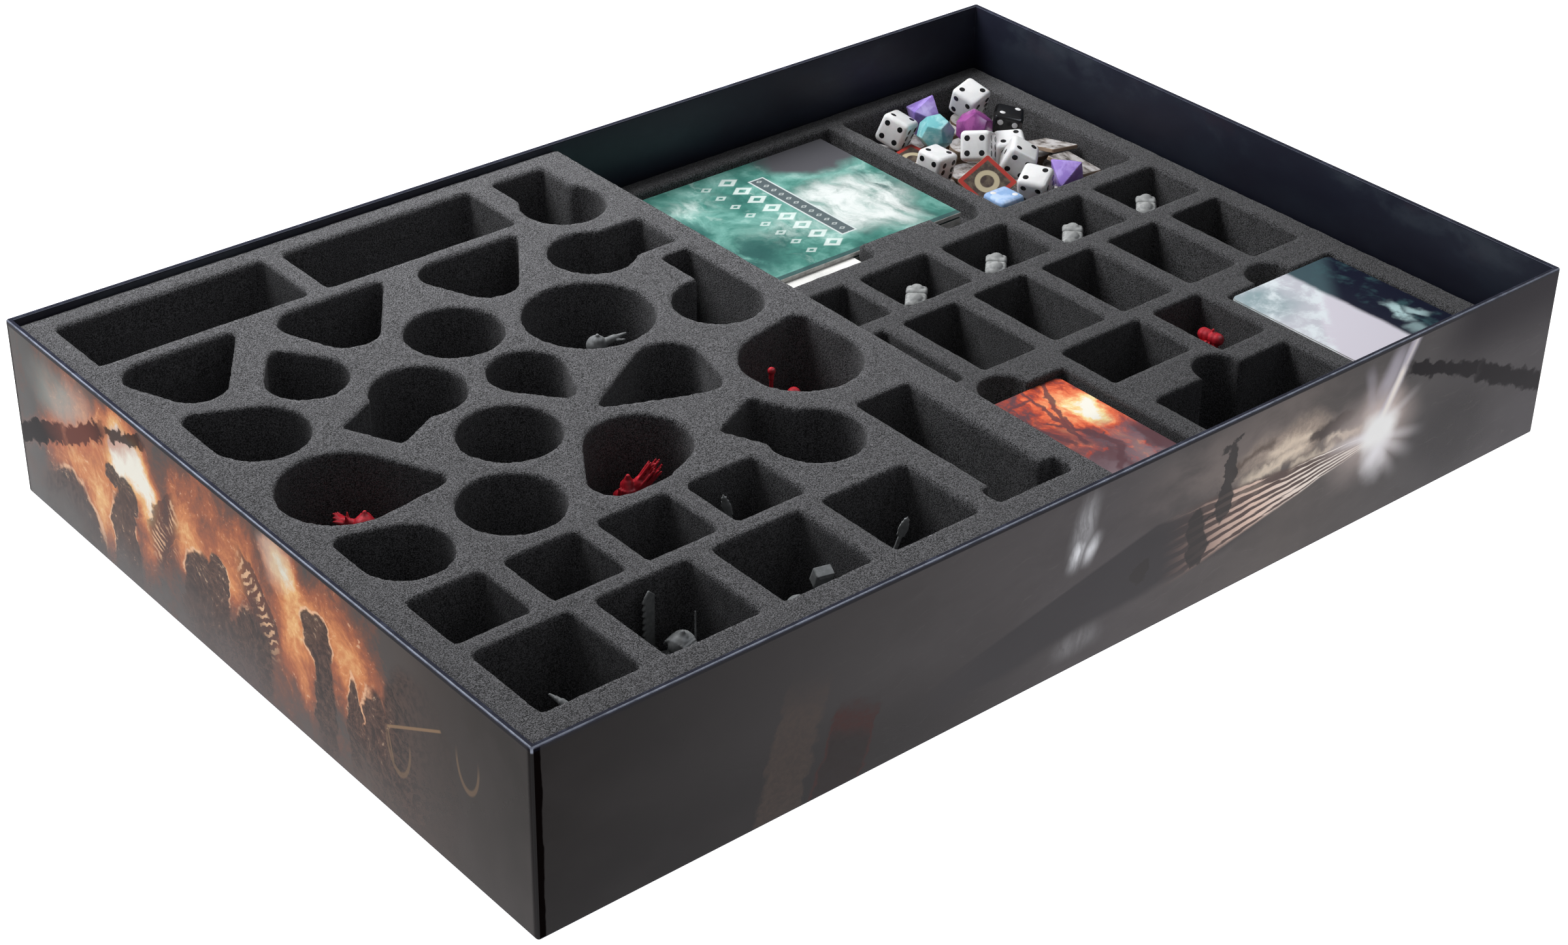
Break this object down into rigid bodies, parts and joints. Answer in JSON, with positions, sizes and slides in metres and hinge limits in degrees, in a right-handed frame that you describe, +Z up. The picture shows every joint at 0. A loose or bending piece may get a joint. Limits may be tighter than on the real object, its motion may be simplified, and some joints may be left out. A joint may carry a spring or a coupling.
{
  "type": "box insert organizer",
  "caption": "Board game box base holding compartmented foam trays with shaped pockets for figures, cards, booklets, dice and counters.",
  "frame": {"origin": "centre of the underside of the box", "axes": "+X along the long side, +Y towards the back wall, +Z up"},
  "size_m": [0.58, 0.392, 0.088],
  "materials": {
    "grey_board": "raw grey board",
    "paper_tape": "brown gummed paper",
    "printed_wrap": "gloss laminated print, dark with fiery and pale abstract art",
    "black_paper": "matt black paper",
    "grey_foam": "open-cell foam, charcoal grey",
    "booklet_paper": "satin printed cover, green mist",
    "leaflet_paper": "uncoated white",
    "warm_cards": "linen finish cards, warm abstract back",
    "cool_cards": "linen finish cards, cool abstract back",
    "counter_board": "printed counters with cut brown edges",
    "white_plastic": "polished, black pips",
    "black_plastic": "polished, white pips",
    "violet_plastic": "pearl",
    "teal_plastic": "pearl",
    "magenta_plastic": "pearl",
    "blue_plastic": "pearl",
    "red_plastic": "moulded",
    "grey_plastic": "moulded"
  },
  "bodies": {
    "box": {"floor_board": "grey_board", "front_wall_board": "grey_board", "back_wall_board": "grey_board", "left_wall_board": "grey_board", "right_wall_board": "grey_board", "corner_stay_front_left": "paper_tape", "corner_stay_front_right": "paper_tape", "corner_stay_back_left": "paper_tape", "corner_stay_back_right": "paper_tape", "printed_wrap": "printed_wrap", "base_sheet": "black_paper", "floor_liner": "black_paper"},
    "lower_tray": {"lower_tray_base": "grey_foam", "lower_tray_foam": "grey_foam"},
    "upper_tray": {"upper_tray_base": "grey_foam", "upper_tray_foam": "grey_foam"},
    "right_tray": {"right_tray_base": "grey_foam", "right_tray_foam": "grey_foam"},
    "booklets": {"booklet_bottom": "booklet_paper", "booklet_middle": "booklet_paper", "leaflet": "leaflet_paper", "booklet_top": "booklet_paper"},
    "left_deck": {"card_deck_left": "warm_cards"},
    "right_deck": {"card_deck_right": "cool_cards"},
    "dice_and_counters": {"counter_stacks": "counter_board", "white_dice": "white_plastic", "black_dice": "black_plastic", "violet_dice": "violet_plastic", "teal_dice": "teal_plastic", "magenta_dice": "magenta_plastic", "blue_dice": "blue_plastic", "square_counters": "counter_board"},
    "upper_red_pawns": {"red_pawns_upper": "red_plastic"},
    "upper_grey_pawns": {"grey_pawns_upper": "grey_plastic"},
    "right_red_pawn": {"red_pawn_right": "red_plastic"},
    "right_grey_pawns": {"grey_pawns_right": "grey_plastic"}
  },
  "joints": [
    {"name": "lower_tray_lift", "type": "slide", "parent": "box", "child": "lower_tray", "axis": [0, 0, 1], "range_m": [0, 0.12]},
    {"name": "upper_tray_lift", "type": "slide", "parent": "lower_tray", "child": "upper_tray", "axis": [0, 0, 1], "range_m": [0, 0.1]},
    {"name": "right_tray_lift", "type": "slide", "parent": "box", "child": "right_tray", "axis": [0, 0, 1], "range_m": [0, 0.12]},
    {"name": "booklets_lift", "type": "slide", "parent": "right_tray", "child": "booklets", "axis": [0, 0, 1], "range_m": [0, 0.06]},
    {"name": "left_deck_lift", "type": "slide", "parent": "right_tray", "child": "left_deck", "axis": [0, 0, 1], "range_m": [0, 0.08]},
    {"name": "right_deck_lift", "type": "slide", "parent": "right_tray", "child": "right_deck", "axis": [0, 0, 1], "range_m": [0, 0.08]},
    {"name": "dice_lift", "type": "slide", "parent": "right_tray", "child": "dice_and_counters", "axis": [0, 0, 1], "range_m": [0, 0.08]},
    {"name": "upper_red_pawns_lift", "type": "slide", "parent": "upper_tray", "child": "upper_red_pawns", "axis": [0, 0, 1], "range_m": [0, 0.08]},
    {"name": "upper_grey_pawns_lift", "type": "slide", "parent": "upper_tray", "child": "upper_grey_pawns", "axis": [0, 0, 1], "range_m": [0, 0.08]},
    {"name": "right_red_pawn_lift", "type": "slide", "parent": "right_tray", "child": "right_red_pawn", "axis": [0, 0, 1], "range_m": [0, 0.08]},
    {"name": "right_grey_pawns_lift", "type": "slide", "parent": "right_tray", "child": "right_grey_pawns", "axis": [0, 0, 1], "range_m": [0, 0.08]}
  ]
}
